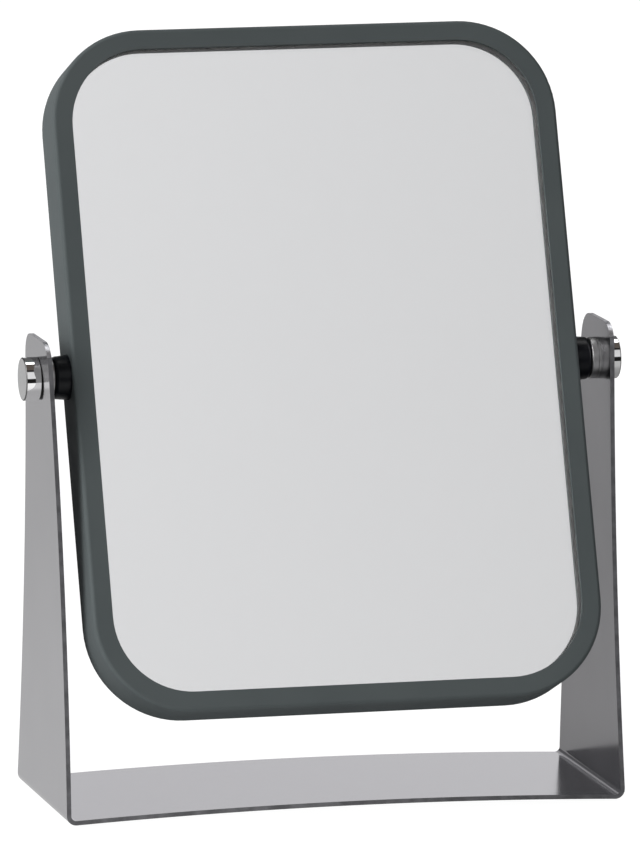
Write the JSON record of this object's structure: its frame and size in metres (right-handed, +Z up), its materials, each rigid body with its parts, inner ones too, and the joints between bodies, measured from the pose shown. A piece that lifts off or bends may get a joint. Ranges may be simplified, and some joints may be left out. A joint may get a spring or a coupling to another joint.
{
  "type": "tilting table mirror",
  "caption": "Rectangular mirror head with rounded corners that tilts on a side-to-side axis between the arms of a bent sheet-metal table stand; plane glass in front, magnifying pane behind.",
  "frame": {"origin": "centre of the bounding box at table level, straight below the tilt axis", "axes": "+X along the tilt axis to the mirror's right as one looks into it, +Y to the back, +Z up"},
  "size_m": [0.19, 0.0912, 0.238],
  "materials": {
    "sheet_steel": "fine satin, silver-grey",
    "pad_rubber": "matt",
    "frame_plastic": "smooth satin, slate grey",
    "pane_glass": "clear, polished",
    "silver_coat": "mirror",
    "foam": "closed-cell, matt",
    "inner_plastic": "as moulded",
    "magnifying_pane": "mirror",
    "insert_brass": "turned",
    "bush_plastic": "satin black",
    "ring_metal": "polished",
    "washer_plastic": "smooth",
    "washer_steel": "smooth",
    "knob_metal": "polished barrel, fine-turned face",
    "stud_steel": "turned"
  },
  "bodies": {
    "stand": {"stand_bracket": "sheet_steel", "foot_pads": "pad_rubber", "friction_washer_left": "washer_steel", "friction_washer_right": "washer_steel", "knob_washer_left": "washer_plastic", "knob_washer_right": "washer_plastic"},
    "head": {"front_frame": "frame_plastic", "front_glass": "pane_glass", "front_silvering": "silver_coat", "front_foam_ring": "foam", "pane_spacer": "inner_plastic", "rear_mirror": "magnifying_pane", "rear_frame": "frame_plastic", "insert_left": "insert_brass", "bush_left": "bush_plastic", "ring_left": "ring_metal", "insert_right": "insert_brass", "bush_right": "bush_plastic", "ring_right": "ring_metal"},
    "knob_unit_left": {"knob_left": "knob_metal", "stud_left": "stud_steel"},
    "knob_unit_right": {"knob_right": "knob_metal", "stud_right": "stud_steel"}
  },
  "joints": [
    {"name": "head_tilt", "type": "hinge", "parent": "stand", "child": "head", "pos_m": [0, 0, 0.1347], "axis": [1, 0, 0], "continuous": true},
    {"name": "knob_left_turn", "type": "hinge", "parent": "head", "child": "knob_unit_left", "pos_m": [-0.093, 0, 0.1347], "axis": [-1, 0, 0], "range_deg": [0, 180]},
    {"name": "knob_right_turn", "type": "hinge", "parent": "head", "child": "knob_unit_right", "pos_m": [0.093, 0, 0.1347], "axis": [1, 0, 0], "range_deg": [0, 180]}
  ]
}
